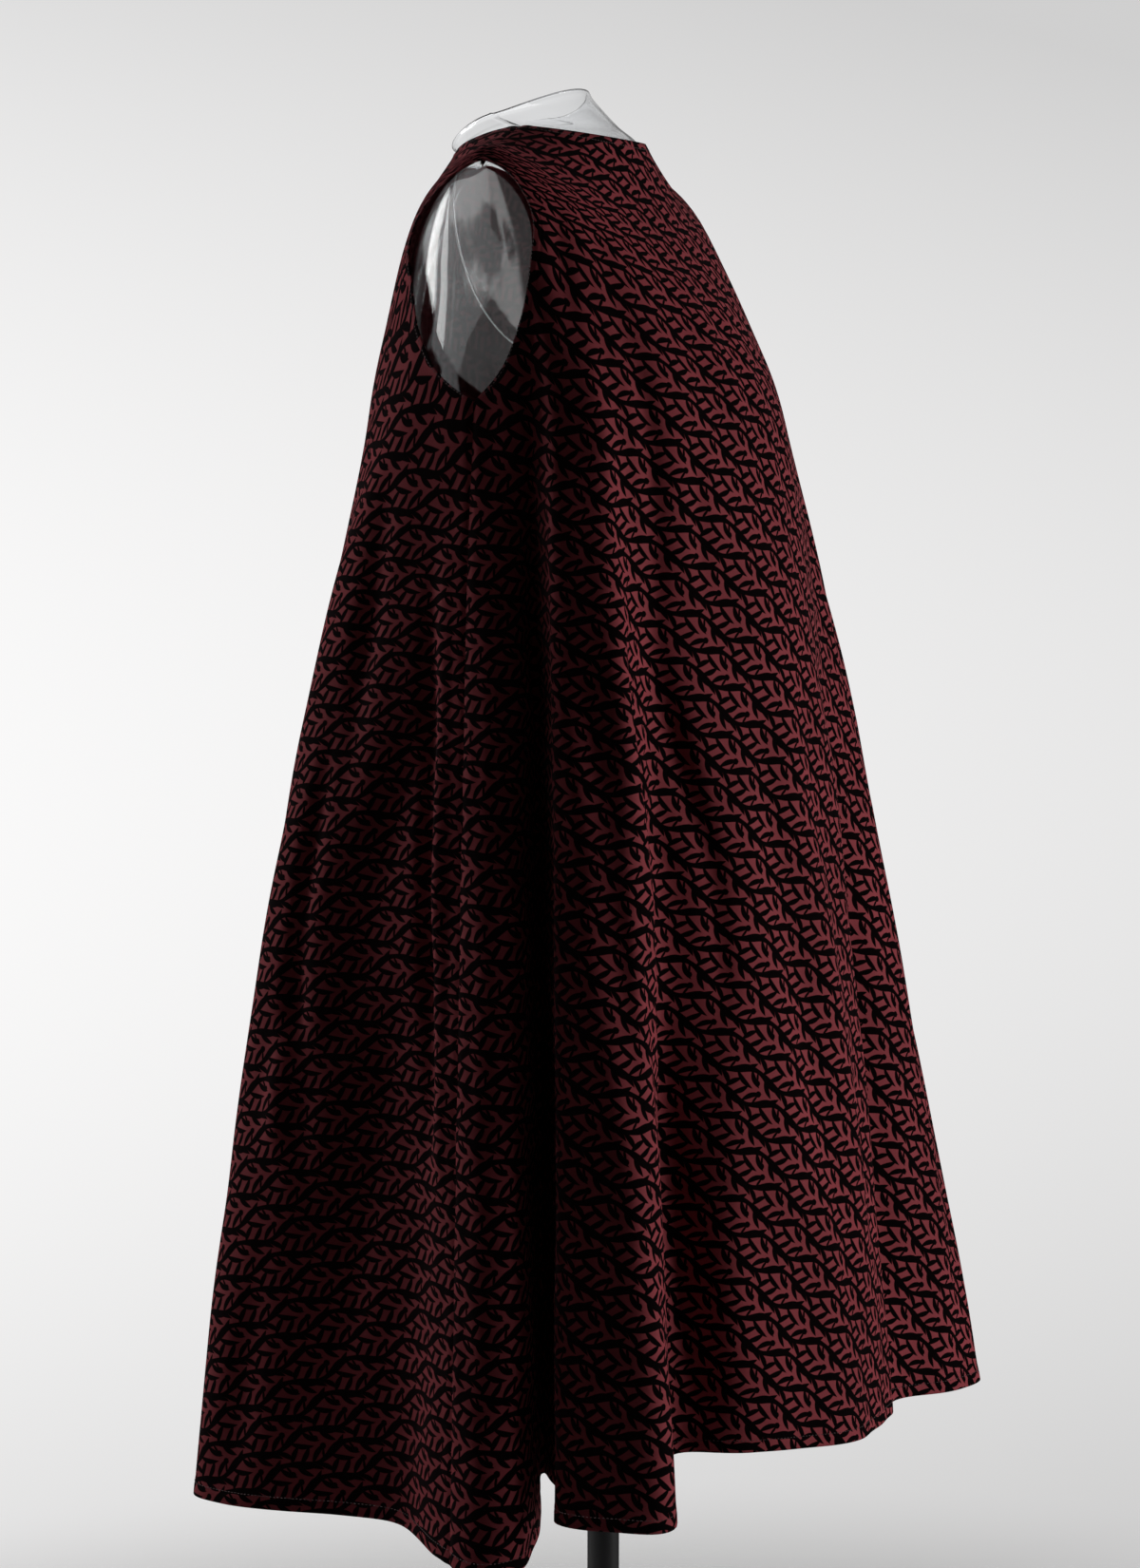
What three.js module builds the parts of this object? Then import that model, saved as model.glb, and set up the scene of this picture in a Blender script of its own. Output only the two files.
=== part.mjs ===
// A sleeveless trapeze dress that hangs in flutes from a clear, armless dress form on a black pole stand.
// Sizes are millimetres. +Z is up, the front faces -Y and the wearer's left is +X.
// The origin lies on the pole's axis, on the floor under the round base.
import * as THREE from "three";

// Driving sizes of the stand and the form
const HEM_HEIGHT = 430; // the hem's level over the floor
const POLE_DIAMETER = 25;
const BASE_DIAMETER = 340;
const BASE_THICKNESS = 8;
const FOOT_SOCKET = { outer: 44, height: 45, floor: 6 };
const FORM_WALL = 3;
const FORM_PLATE_THICKNESS = 6;
const FORM_SOCKET = { outer: 46, length: 70, roof: 10 };
const TOUCH_GAP = 0.3; // between pieces that touch

// Driving sizes of the cloth
const CLOTH_WALL = 1.6;
const SEAM_GAP = 0.3;
const FLARE_SOFTNESS = 0.1; // how softly a fold leaves the body, as a part of its length
const SLOPE_POWER = 1.3; // how the shoulder line falls off to the front and the back

// Grid counts
const SHOULDER_ROWS = 4;
const ROWS_PER_ARMHOLE_STEP = 2;
const SIDE_ROWS = 4;
const SKIRT_ROWS = 6;
const PANEL_COLUMNS = 46;
const FORM_COLUMNS = 40;
const FORM_ROWS_PER_STEP = 2;
const ROUND_SIDES = 48;

function table(columns, rows) {
  const names = columns.split(" ");
  return rows.map((row) => Object.fromEntries(names.map((name, i) => [name, row[i]])));
}

// Rings of the cloth round the body, from the neckline down, with heights over the hem's level.
// middleY is where the ring is widest, and a square of 2 is an ellipse.
const RING_COLUMNS = "name halfWidth middleY frontY backY sideZ frontZ backZ square";
const RINGS = table(RING_COLUMNS, [
  ["neckline", 84, -33, -116, 24, 1019, 1003, 1012, 2],
  ["on the shoulder", 122, -31, -133, 43, 1005, 960, 968, 2],
  ["shoulder tip", 158, -29, -146, 70, 989, 912, 922, 2],
  ["armhole", 163, -30, -160, 104, 905, 862, 868, 2.1],
  ["underarm", 166, -32, -168, 132, 812, 808, 805, 2.2],
  ["below the arm", 170, -33, -172, 145, 700, 700, 700, 2.2],
  ["high waist", 171, -33, -173, 150, 560, 560, 560, 2.2],
]);
const SHOULDER_TIP = 2;
const UNDERARM = 4;
const LAST_RING = RINGS.length - 1;

// Folds round the skirt, from the front centre over the wearer's left side and the back.
// ring is the angle on the rings, azimuth and radius give the place on the hem, lift is the hem's
// height there, start is the height where the fold leaves the body, and bow is its outward curve.
const FOLDS = table("name ring azimuth radius lift start bow", [
  ["front centre", -90, -94, 300, 0, 800, 0.5],
  ["left front dip", -68, -68, 262, 4, 800, 0.5],
  ["left front crest", -48, -44, 328, 0, 810, 0.5],
  ["left corner", -34, -33, 340, 0, 810, 0.5],
  ["left side dip", -12, -10, 283, 0, 800, 0.5],
  ["left side crest, front", -2, 2, 322, -8, 800, 0.25],
  ["left side crest", 4, 8.5, 344, -14, 800, 0.25],
  ["left side crest, rear", 8.5, 13.5, 326, -10, 800, 0.25],
  ["left side flank", 11, 13, 258, 0, 810, 0.25],
  ["left valley", 13.5, 6, 152, 12, 820, 0.25],
  ["left rear flank", 16, 17, 250, 18, 860, 0.15],
  ["left rear crest, front", 19, 17.5, 315, 20, 870, 0.15],
  ["left rear crest", 24, 24, 334, 20, 870, 0.15],
  ["left rear crest, back", 30, 32.5, 326, 20, 870, 0.15],
  ["left rear valley", 38, 38, 190, 34, 860, 0.15],
  ["back left", 58, 56, 207, 36, 800, 0.15],
  ["back centre", 82, 82, 222, 30, 800, 0.15],
  ["back right", 98, 108, 224, 26, 780, 0.15],
  ["right band", 110, 123, 236, 24, 740, 0.15],
  ["right rear crest, back", 130, 130, 300, 22, 820, 0.2],
  ["right rear crest", 148, 137, 336, 20, 840, 0.2],
  ["right rear crest, front", 156, 146, 322, 16, 840, 0.2],
  ["right valley", 165, 156, 185, 10, 820, 0.2],
  ["right side crest, rear", 171, 160, 316, -8, 800, 0.2],
  ["right side crest", 176, 166, 340, -12, 800, 0.2],
  ["right side crest, front", 182, 174, 316, -6, 800, 0.2],
  ["right side dip", 193, 184, 284, 0, 800, 0.5],
  ["right corner", 214, 207, 340, 0, 810, 0.5],
  ["right front crest", 230, 218, 326, 0, 810, 0.5],
  ["right front dip", 249, 241, 264, 4, 800, 0.5],
]);
for (const fold of FOLDS) {
  fold.hemX = fold.radius * Math.cos(THREE.MathUtils.degToRad(fold.azimuth));
  fold.hemY = fold.radius * Math.sin(THREE.MathUtils.degToRad(fold.azimuth));
}

// The armhole's edge, as its angles before and behind the side at a place on the rings.
const ARMHOLE = table("name ringPlace front rear", [
  ["shoulder tip", 2, 0, 0],
  ["turn", 2.02, 16, 8],
  ["upper", 2.12, 33, 15],
  ["widest", 2.4, 36, 19.5],
  ["middle", 2.85, 29, 16.5],
  ["lower", 3.35, 22, 12],
  ["scoop", 3.75, 12.5, 6.5],
  ["underarm", 4, 0, 0],
]);

// How far the form lies inside the cloth's rings, at the sides, at front and back, and downwards.
const FORM_CLEARANCE = table("side frontBack down", [
  [1, 4, 2.3],
  [1, 6, 2.3],
  [2, 8, 2.3],
  [7, 11, 2],
  [12, 16, 2],
  [32, 34, 2],
  [50, 60, 2],
]);
// The form's rings: neck, the cloth's rings drawn in, waist and hips
const FORM_RINGS = [
  ...table(RING_COLUMNS, [
    ["neck rim", 52, -71, -122, -18, 1031, 1009, 1052, 2],
    ["neck", 66, -52, -116, 4, 1024.5, 1003, 1027, 2],
  ]),
  ...RINGS.map((ring, i) => {
    const clear = FORM_CLEARANCE[i];
    return {
      ...ring,
      halfWidth: ring.halfWidth - clear.side,
      frontY: ring.frontY + clear.frontBack,
      backY: ring.backY - clear.frontBack,
      sideZ: ring.sideZ - clear.down,
      frontZ: ring.frontZ - clear.down,
      backZ: ring.backZ - clear.down,
    };
  }),
  ...table(RING_COLUMNS, [
    ["hips", 152, -14, -122, 104, 430, 430, 430, 2.2],
    ["form's lower edge", 146, -12, -112, 98, 370, 370, 370, 2.2],
  ]),
];
const FORM_FLOOR = FORM_RINGS.at(-1);

// Smooth curve through four neighbouring values
function throughRows(before, from, to, after, part) {
  const slope = to - before;
  const bend = 2 * before - 5 * from + 4 * to - after;
  const twist = 3 * (from - to) + after - before;
  return from + 0.5 * part * (slope + part * (bend + part * twist));
}

// The same curve without any overshoot, for values that only rise
function risingThroughRows(before, from, to, after, part) {
  const slopeAt = (a, b) => (a * b > 0 ? (2 * a * b) / (a + b) : 0);
  const startSlope = slopeAt(from - before, to - from);
  const endSlope = slopeAt(to - from, after - to);
  const p2 = part * part;
  const p3 = p2 * part;
  return (
    (2 * p3 - 3 * p2 + 1) * from +
    (p3 - 2 * p2 + part) * startSlope +
    (3 * p2 - 2 * p3) * to +
    (p3 - p2) * endSlope
  );
}

function openValue(rows, column, place) {
  const last = rows.length - 1;
  const index = Math.min(Math.floor(place), last - 1);
  const at = (i) => rows[THREE.MathUtils.clamp(i, 0, last)][column];
  return throughRows(at(index - 1), at(index), at(index + 1), at(index + 2), place - index);
}

function roundValue(column, place, curve = throughRows, turn = 0) {
  const index = Math.floor(place);
  const at = (i) => {
    const laps = Math.floor(i / FOLDS.length);
    return FOLDS[i - laps * FOLDS.length][column] + laps * turn;
  };
  return curve(at(index - 1), at(index), at(index + 1), at(index + 2), place - index);
}

const ringAngle = (place) => roundValue("ring", place, risingThroughRows, 360);

// The place among the folds where the rings have this angle
const HALVINGS = 50;
function foldPlace(angle) {
  let low = -FOLDS.length;
  let high = 2 * FOLDS.length;
  for (let i = 0; i < HALVINGS; i++) {
    const middle = (low + high) / 2;
    if (ringAngle(middle) < angle) low = middle;
    else high = middle;
  }
  return (low + high) / 2;
}

// A point on a ring, with its height over the hem's level
function ringPoint(rings, angle, place) {
  const value = (column) => openValue(rings, column, place);
  const across = Math.cos(THREE.MathUtils.degToRad(angle));
  const along = Math.sin(THREE.MathUtils.degToRad(angle));
  const power = 2 / value("square");
  const reach = along > 0 ? value("backY") - value("middleY") : value("middleY") - value("frontY");
  const endZ = along > 0 ? value("backZ") : value("frontZ");
  const sideZ = value("sideZ");
  return new THREE.Vector3(
    value("halfWidth") * Math.sign(across) * Math.abs(across) ** power,
    value("middleY") + reach * Math.sign(along) * Math.abs(along) ** power,
    sideZ + (endZ - sideZ) * Math.abs(along) ** SLOPE_POWER,
  );
}

// How far a fold has grown, from 0 where it starts to 1 at the hem
function foldGrowth(fallen) {
  if (fallen < -FLARE_SOFTNESS) return 0;
  if (fallen > FLARE_SOFTNESS) return fallen;
  return (fallen + FLARE_SOFTNESS) ** 2 / (4 * FLARE_SOFTNESS);
}

// A point on the cloth's outside. ringPlace passes the last ring by 0 to 1 down to the hem.
function clothPoint(place, ringPlace) {
  const angle = ringAngle(place);
  const point = ringPoint(RINGS, angle, Math.min(ringPlace, LAST_RING));
  const hang = THREE.MathUtils.clamp(ringPlace - LAST_RING, 0, 1);
  const lift = roundValue("lift", place);
  point.z = THREE.MathUtils.lerp(point.z, lift, hang);
  const body = ringPoint(RINGS, angle, LAST_RING);
  const start = roundValue("start", place, risingThroughRows);
  const linear = foldGrowth((start - point.z) / (start - lift));
  const growth = linear + roundValue("bow", place) * linear * (1 - Math.min(linear, 1));
  point.x += growth * (roundValue("hemX", place) - body.x);
  point.y += growth * (roundValue("hemY", place) - body.y);
  return point;
}

// Outside normal of a surface at two parameters, seen with the second one running down
function outsideNormal(surface, across, down) {
  const step = 0.01;
  const sideways = surface(across + step, down).sub(surface(across - step, down));
  const downwards = surface(across, down + step).sub(surface(across, down - step));
  return downwards.cross(sideways).normalize();
}

// Closed wall between an outer and an inner grid of points. Rows run down, columns run from the
// front over the wearer's left to the back. A round wall has no side edges.
function wallGeometry(outer, inner, isRound) {
  const rows = outer.length;
  const columns = outer[0].length;
  const positions = [...outer, ...inner].flat().flatMap((p) => [p.x, p.y, p.z]);
  const index = [];
  const outside = (r, c) => r * columns + (c % columns);
  const inside = (r, c) => rows * columns + outside(r, c);
  const quad = (a, b, c, d) => index.push(a, b, c, a, c, d);
  const spans = isRound ? columns : columns - 1;
  for (let r = 0; r < rows - 1; r++) {
    for (let c = 0; c < spans; c++) {
      quad(outside(r, c), outside(r + 1, c), outside(r + 1, c + 1), outside(r, c + 1));
      quad(inside(r, c), inside(r, c + 1), inside(r + 1, c + 1), inside(r + 1, c));
    }
    if (!isRound) {
      quad(outside(r, 0), inside(r, 0), inside(r + 1, 0), outside(r + 1, 0));
      quad(outside(r, spans), outside(r + 1, spans), inside(r + 1, spans), inside(r, spans));
    }
  }
  for (let c = 0; c < spans; c++) {
    quad(outside(0, c), outside(0, c + 1), inside(0, c + 1), inside(0, c));
    const foot = rows - 1;
    quad(outside(foot, c), inside(foot, c), inside(foot, c + 1), outside(foot, c + 1));
  }
  const geometry = new THREE.BufferGeometry();
  geometry.setAttribute("position", new THREE.Float32BufferAttribute(positions, 3));
  geometry.setIndex(index);
  geometry.computeVertexNormals();
  return geometry;
}

// The rows of a panel: its place on the rings and how far the armhole has taken its side edges in
function panelRows(edgeColumn) {
  const rows = [];
  for (let i = 0; i < SHOULDER_ROWS; i++) {
    rows.push({ ringPlace: (SHOULDER_TIP * i) / SHOULDER_ROWS, edge: 0 });
  }
  const armholeRows = (ARMHOLE.length - 1) * ROWS_PER_ARMHOLE_STEP;
  for (let i = 0; i < armholeRows; i++) {
    const place = i / ROWS_PER_ARMHOLE_STEP;
    rows.push({
      ringPlace: openValue(ARMHOLE, "ringPlace", place),
      edge: openValue(ARMHOLE, edgeColumn, place),
    });
  }
  for (let i = 0; i < SIDE_ROWS; i++) {
    rows.push({ ringPlace: UNDERARM + ((LAST_RING - UNDERARM) * i) / SIDE_ROWS, edge: 0 });
  }
  for (let i = 0; i <= SKIRT_ROWS; i++) {
    rows.push({ ringPlace: LAST_RING + i / SKIRT_ROWS, edge: 0 });
  }
  return rows;
}

// One panel of the dress between the side seams at two ring angles
function dressPanel(fromAngle, toAngle, edgeColumn) {
  const outer = [];
  const inner = [];
  for (const { ringPlace, edge } of panelRows(edgeColumn)) {
    const first = foldPlace(fromAngle + edge);
    const last = foldPlace(toAngle - edge);
    const outerRow = [];
    const innerRow = [];
    for (let c = 0; c <= PANEL_COLUMNS; c++) {
      const place = THREE.MathUtils.lerp(first, last, c / PANEL_COLUMNS);
      const point = clothPoint(place, ringPlace);
      const normal = outsideNormal(clothPoint, place, ringPlace);
      outerRow.push(point);
      innerRow.push(point.clone().addScaledVector(normal, -CLOTH_WALL));
    }
    for (const row of [outerRow, innerRow]) {
      drawIn(row[0], row[1]);
      drawIn(row[PANEL_COLUMNS], row[PANEL_COLUMNS - 1]);
      for (const point of row) point.z += HEM_HEIGHT;
    }
    outer.push(outerRow);
    inner.push(innerRow);
  }
  return wallGeometry(outer, inner, false);
}

// Moves an edge point half a seam gap towards its neighbour
function drawIn(edgePoint, neighbour) {
  const way = neighbour.clone().sub(edgePoint).normalize();
  edgePoint.addScaledVector(way, SEAM_GAP / 2);
}

const formPoint = (angle, place) => ringPoint(FORM_RINGS, angle, place);

// The clear torso, a shell that is open at the neck and at its lower edge
function torsoGeometry() {
  const outer = [];
  const inner = [];
  const steps = (FORM_RINGS.length - 1) * FORM_ROWS_PER_STEP;
  for (let r = 0; r <= steps; r++) {
    const place = r / FORM_ROWS_PER_STEP;
    const outerRow = [];
    const innerRow = [];
    for (let c = 0; c < FORM_COLUMNS; c++) {
      const angle = (360 * c) / FORM_COLUMNS;
      const point = formPoint(angle, place);
      const normal = outsideNormal(formPoint, angle, THREE.MathUtils.clamp(place, 0.02, steps));
      outerRow.push(point);
      innerRow.push(point.clone().addScaledVector(normal, -FORM_WALL));
    }
    for (const point of [...outerRow, ...innerRow]) point.z += HEM_HEIGHT;
    outer.push(outerRow);
    inner.push(innerRow);
  }
  return wallGeometry(outer, inner, true);
}

// The oval plate that closes the torso from below, one touch gap under its edge
const PLATE_TOP = HEM_HEIGHT + FORM_FLOOR.sideZ - TOUCH_GAP;
const PLATE_BOTTOM = PLATE_TOP - FORM_PLATE_THICKNESS;
function plateGeometry() {
  const outline = new THREE.Shape();
  for (let c = 0; c < FORM_COLUMNS; c++) {
    const point = formPoint((360 * c) / FORM_COLUMNS, FORM_RINGS.length - 1);
    if (c === 0) outline.moveTo(point.x, point.y);
    else outline.lineTo(point.x, point.y);
  }
  outline.closePath();
  return new THREE.ExtrudeGeometry(outline, { depth: FORM_PLATE_THICKNESS, bevelEnabled: false });
}

// A turned piece from pairs of radius and height, starting and ending on the axis or closing on itself
function turned(pairs) {
  const profile = pairs.map(([radius, height]) => new THREE.Vector2(radius, height));
  return new THREE.LatheGeometry(profile, ROUND_SIDES).rotateX(Math.PI / 2);
}

// The socket under the plate, a cup turned over the pole's upper end
const SOCKET_TOP = PLATE_BOTTOM - TOUCH_GAP;
function socketGeometry() {
  const bore = POLE_DIAMETER / 2 + TOUCH_GAP;
  const outer = FORM_SOCKET.outer / 2;
  const bottom = SOCKET_TOP - FORM_SOCKET.length;
  const roof = SOCKET_TOP - FORM_SOCKET.roof;
  return turned([
    [0, roof],
    [bore, roof],
    [bore, bottom],
    [outer, bottom],
    [outer, SOCKET_TOP],
    [0, SOCKET_TOP],
  ]);
}

const POLE_BOTTOM = BASE_THICKNESS + FOOT_SOCKET.floor + TOUCH_GAP;
const POLE_TOP = SOCKET_TOP - FORM_SOCKET.roof - TOUCH_GAP;
function poleGeometry() {
  const radius = POLE_DIAMETER / 2;
  return turned([
    [0, POLE_BOTTOM],
    [radius, POLE_BOTTOM],
    [radius, POLE_TOP],
    [0, POLE_TOP],
  ]);
}

// The socket on the base, a cup that holds the pole's foot
function footSocketGeometry() {
  const bore = POLE_DIAMETER / 2 + TOUCH_GAP;
  const outer = FOOT_SOCKET.outer / 2;
  const bottom = BASE_THICKNESS + TOUCH_GAP;
  const floor = BASE_THICKNESS + FOOT_SOCKET.floor;
  return turned([
    [0, bottom],
    [outer, bottom],
    [outer, bottom + FOOT_SOCKET.height],
    [bore, bottom + FOOT_SOCKET.height],
    [bore, floor],
    [0, floor],
  ]);
}

const BASE_EDGE_ROUND = 3;
function baseGeometry() {
  const radius = BASE_DIAMETER / 2;
  const corner = BASE_EDGE_ROUND * (1 - Math.SQRT1_2);
  return turned([
    [0, 0],
    [radius, 0],
    [radius, BASE_THICKNESS - BASE_EDGE_ROUND],
    [radius - corner, BASE_THICKNESS - corner],
    [radius - BASE_EDGE_ROUND, BASE_THICKNESS],
    [0, BASE_THICKNESS],
  ]);
}

const cloth = { color: 0x6e2a2f, roughness: 0.9, metalness: 0 };
const clearPlastic = { color: 0xe8ecee, roughness: 0.05, metalness: 0, transparent: true, opacity: 0.3 };
const blackPaint = { color: 0x0c0c0d, roughness: 0.35, metalness: 0 };

function piece(name, geometry, look) {
  const mesh = new THREE.Mesh(geometry, new THREE.MeshStandardMaterial(look));
  mesh.name = name;
  return mesh;
}

const dress = new THREE.Group();
dress.name = "dress";
dress.add(piece("dress_front_panel", dressPanel(-180, 0, "front"), cloth));
dress.add(piece("dress_back_panel", dressPanel(0, 180, "rear"), cloth));

const form = new THREE.Group();
form.name = "dress_form";
form.add(piece("form_torso", torsoGeometry(), clearPlastic));
const plate = piece("form_plate", plateGeometry(), clearPlastic);
plate.position.z = PLATE_BOTTOM;
form.add(plate);

const stand = new THREE.Group();
stand.name = "stand";
stand.add(piece("pole_socket", socketGeometry(), blackPaint));
stand.add(piece("pole", poleGeometry(), blackPaint));
stand.add(piece("foot_socket", footSocketGeometry(), blackPaint));
stand.add(piece("round_base", baseGeometry(), blackPaint));

const model = new THREE.Group();
model.add(dress, form, stand);
export default model;
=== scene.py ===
"""A sleeveless flared dress on a clear dress form, with its black stand and a plain pale studio."""

import math
from typing import NamedTuple

import bmesh
import bpy
import numpy as np
from mathutils import Matrix, Vector


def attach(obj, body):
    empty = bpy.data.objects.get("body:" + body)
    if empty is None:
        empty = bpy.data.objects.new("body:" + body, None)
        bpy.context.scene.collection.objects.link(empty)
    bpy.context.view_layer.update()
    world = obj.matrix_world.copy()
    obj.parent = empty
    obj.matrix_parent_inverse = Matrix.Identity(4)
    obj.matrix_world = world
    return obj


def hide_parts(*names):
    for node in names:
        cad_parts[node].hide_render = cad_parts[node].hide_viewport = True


bl_info = {
    "name": "Flared Dress on a Clear Form",
    "version": (1, 0, 0),
    "blender": (4, 5, 0),
    "location": "View3D > Sidebar > Dress",
    "description": "Dresses the packed frame of a sleeveless dress on its form and stand",
    "category": "Object",
}

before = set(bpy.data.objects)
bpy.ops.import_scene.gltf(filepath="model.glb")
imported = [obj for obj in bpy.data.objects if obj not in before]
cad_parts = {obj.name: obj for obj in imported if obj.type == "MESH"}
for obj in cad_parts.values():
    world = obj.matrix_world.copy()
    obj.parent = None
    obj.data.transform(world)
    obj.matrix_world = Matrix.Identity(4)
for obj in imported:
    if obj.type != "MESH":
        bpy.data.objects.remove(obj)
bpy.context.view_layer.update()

# Sizes in millimetres, as the maker works, turned to metres when a mesh is made
MM = 0.001
HEM_HEIGHT = 430.0
POLE_RADIUS = 12.5

# Rings of the cloth round the body, from the neckline down, with heights over the hem's level:
# half width, widest place, front, back, height at the side, in front, behind, and squareness
RINGS = np.array([
    (84, -33, -116, 24, 1019, 1003, 1012, 2),
    (122, -31, -133, 43, 1005, 960, 968, 2),
    (158, -29, -146, 70, 989, 912, 922, 2),
    (163, -30, -160, 104, 905, 862, 868, 2.1),
    (166, -32, -168, 132, 812, 808, 805, 2.2),
    (170, -33, -172, 145, 700, 700, 700, 2.2),
    (171, -33, -173, 150, 560, 560, 560, 2.2),
], float)
SHOULDER_TIP = 2
UNDERARM = 4
LAST_RING = len(RINGS) - 1
SLOPE_POWER = 1.3
FLARE_SOFTNESS = 0.1

# Folds round the skirt: angle on the rings, azimuth and radius on the hem, lift of the hem,
# height where the fold leaves the body, and its outward bow
FOLDS = np.array([
    (-90, -94, 300, 0, 800, 0.5),
    (-68, -68, 262, 4, 800, 0.5),
    (-48, -44, 328, 0, 810, 0.5),
    (-34, -33, 340, 0, 810, 0.5),
    (-12, -10, 283, 0, 800, 0.5),
    (-2, 2, 322, -8, 800, 0.25),
    (4, 8.5, 344, -14, 800, 0.25),
    (8.5, 13.5, 326, -10, 800, 0.25),
    (11, 13, 258, 0, 810, 0.25),
    (13.5, 6, 152, 12, 820, 0.25),
    (16, 17, 250, 18, 860, 0.15),
    (19, 17.5, 315, 20, 870, 0.15),
    (24, 24, 334, 20, 870, 0.15),
    (30, 32.5, 326, 20, 870, 0.15),
    (38, 38, 190, 34, 860, 0.15),
    (58, 56, 207, 36, 800, 0.15),
    (82, 82, 222, 30, 800, 0.15),
    (98, 108, 224, 26, 780, 0.15),
    (110, 123, 236, 24, 740, 0.15),
    (130, 130, 300, 22, 820, 0.2),
    (148, 137, 336, 20, 840, 0.2),
    (156, 146, 322, 16, 840, 0.2),
    (165, 156, 185, 10, 820, 0.2),
    (171, 160, 316, -8, 800, 0.2),
    (176, 166, 340, -12, 800, 0.2),
    (182, 174, 316, -6, 800, 0.2),
    (193, 184, 284, 0, 800, 0.5),
    (214, 207, 340, 0, 810, 0.5),
    (230, 218, 326, 0, 810, 0.5),
    (249, 241, 264, 4, 800, 0.5),
], float)
FOLD_ANGLE = FOLDS[:, 0]
FOLD_HEM_X = FOLDS[:, 2] * np.cos(np.radians(FOLDS[:, 1]))
FOLD_HEM_Y = FOLDS[:, 2] * np.sin(np.radians(FOLDS[:, 1]))
FOLD_LIFT = FOLDS[:, 3]
FOLD_START = FOLDS[:, 4]
FOLD_BOW = FOLDS[:, 5]

# The armhole's edge: place on the rings, and degrees taken off the front and the back panel
ARMHOLE = np.array([
    (2, 0, 0),
    (2.02, 16, 8),
    (2.12, 33, 15),
    (2.4, 36, 19.5),
    (2.85, 29, 16.5),
    (3.35, 22, 12),
    (3.75, 12.5, 6.5),
    (4, 0, 0),
], float)

# How far the form lies inside the cloth's rings: at the sides, at front and back, and downwards
FORM_CLEARANCE = np.array([
    (1, 4, 2.3),
    (1, 6, 2.3),
    (2, 8, 2.3),
    (7, 11, 2),
    (12, 16, 2),
    (32, 34, 2),
    (50, 60, 2),
], float)


def form_rings():
    """The form's rings: neck, the cloth's rings drawn in, and hips."""
    drawn_in = RINGS.copy()
    drawn_in[:, 0] -= FORM_CLEARANCE[:, 0]
    drawn_in[:, 2] += FORM_CLEARANCE[:, 1]
    drawn_in[:, 3] -= FORM_CLEARANCE[:, 1]
    drawn_in[:, 4:7] -= FORM_CLEARANCE[:, 2:3]
    neck = [(52, -71, -122, -18, 1031, 1009, 1052, 2), (66, -52, -116, 4, 1024.5, 1003, 1027, 2)]
    hips = [(152, -14, -122, 104, 430, 430, 430, 2.2), (146, -12, -112, 98, 370, 370, 370, 2.2)]
    return np.concatenate([np.array(neck), drawn_in, np.array(hips)])


FORM_RINGS = form_rings()


def smooth_curve(before, start, end, after, part):
    """A smooth curve through four neighbouring values."""
    bend = 2 * before - 5 * start + 4 * end - after
    twist = 3 * (start - end) + after - before
    return start + 0.5 * part * (end - before + part * (bend + part * twist))


def rising_curve(before, start, end, after, part):
    """The same curve with no overshoot, for values that only rise."""

    def slope(a, b):
        rising = a * b > 0
        return np.where(rising, 2 * a * b / np.where(rising, a + b, 1), 0)

    first = slope(start - before, end - start)
    last = slope(end - start, after - end)
    p2 = part * part
    p3 = p2 * part
    return (
        (2 * p3 - 3 * p2 + 1) * start
        + (p3 - 2 * p2 + part) * first
        + (3 * p2 - 2 * p3) * end
        + (p3 - p2) * last
    )


def round_value(values, place, curve=smooth_curve, turn=0.0):
    """A value among the folds, which close on themselves."""
    index = np.floor(place).astype(int)

    def at(i):
        return values[np.mod(i, len(values))] + turn * np.floor_divide(i, len(values))

    return curve(at(index - 1), at(index), at(index + 1), at(index + 2), place - index)


def open_value(rows, place):
    """A row of values between the rows of a table that starts and ends."""
    last = len(rows) - 1
    index = np.minimum(np.floor(place).astype(int), last - 1)
    part = (place - index)[..., None]

    def at(i):
        return rows[np.clip(i, 0, last)]

    return smooth_curve(at(index - 1), at(index), at(index + 1), at(index + 2), part)


def ring_angle(place):
    """The angle on the rings at a place among the folds."""
    return round_value(FOLD_ANGLE, place, rising_curve, 360.0)


PLACE_STEPS = np.linspace(-len(FOLDS), 2 * len(FOLDS), 18001)
ANGLE_STEPS = ring_angle(PLACE_STEPS)


def fold_place(angle):
    """The place among the folds where the rings have this angle."""
    return np.interp(angle, ANGLE_STEPS, PLACE_STEPS)


def ring_point(rings, angle, place):
    """A point on a ring, with its height over the hem's level."""
    row = open_value(rings, place)
    half, middle, front, back, side_z, front_z, back_z, square = np.moveaxis(row, -1, 0)
    across = np.cos(np.radians(angle))
    along = np.sin(np.radians(angle))
    power = 2 / square
    reach = np.where(along > 0, back - middle, middle - front)
    end_z = np.where(along > 0, back_z, front_z)
    return np.stack([
        half * np.sign(across) * np.abs(across) ** power,
        middle + reach * np.sign(along) * np.abs(along) ** power,
        side_z + (end_z - side_z) * np.abs(along) ** SLOPE_POWER,
    ], -1)


def fold_growth(fallen):
    """How far a fold has grown, from 0 where it starts to 1 at the hem."""
    soft = (fallen + FLARE_SOFTNESS) ** 2 / (4 * FLARE_SOFTNESS)
    return np.where(fallen < -FLARE_SOFTNESS, 0, np.where(fallen > FLARE_SOFTNESS, fallen, soft))


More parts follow.
